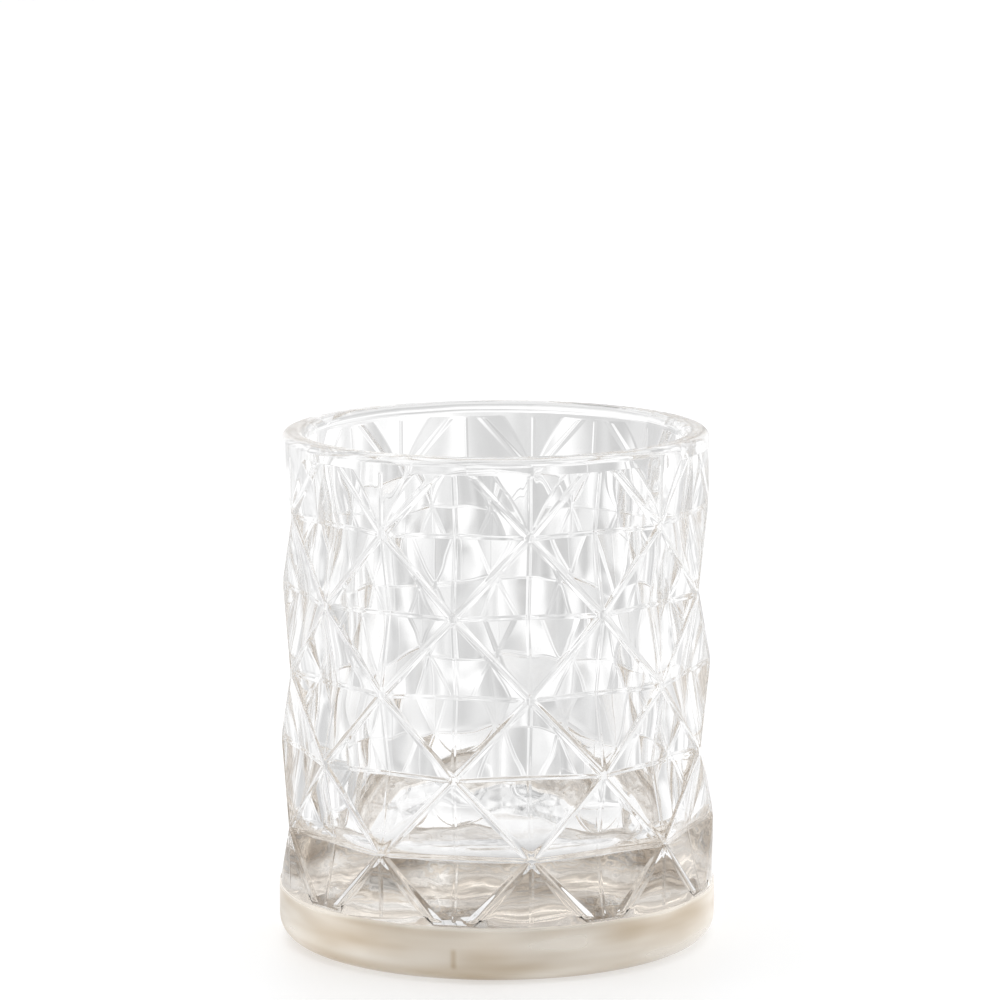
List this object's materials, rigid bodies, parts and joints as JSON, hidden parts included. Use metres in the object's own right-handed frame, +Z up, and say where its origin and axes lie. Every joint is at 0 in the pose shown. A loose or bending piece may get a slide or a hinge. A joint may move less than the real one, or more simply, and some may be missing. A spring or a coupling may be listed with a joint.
{
  "type": "tealight holder",
  "caption": "Tumbler-shaped pressed-glass tealight holder with an all-over star relief, a thick solid foot and a pearl lacquered base.",
  "frame": {"origin": "centre of the foot, on the surface that the holder stands on", "axes": "+Z up along the holder's axis; a star of the lowest row faces -Y, and the part is mirror-symmetric about the YZ plane"},
  "size_m": [0.071, 0.071, 0.083],
  "materials": {
    "clear_glass": "fire-polished clear soda-lime glass",
    "pearl_lacquer": "satin pearl champagne lacquer, sprayed"
  },
  "bodies": {
    "root": {"glass_body": "clear_glass", "base_lacquer": "pearl_lacquer"}
  },
  "joints": []
}
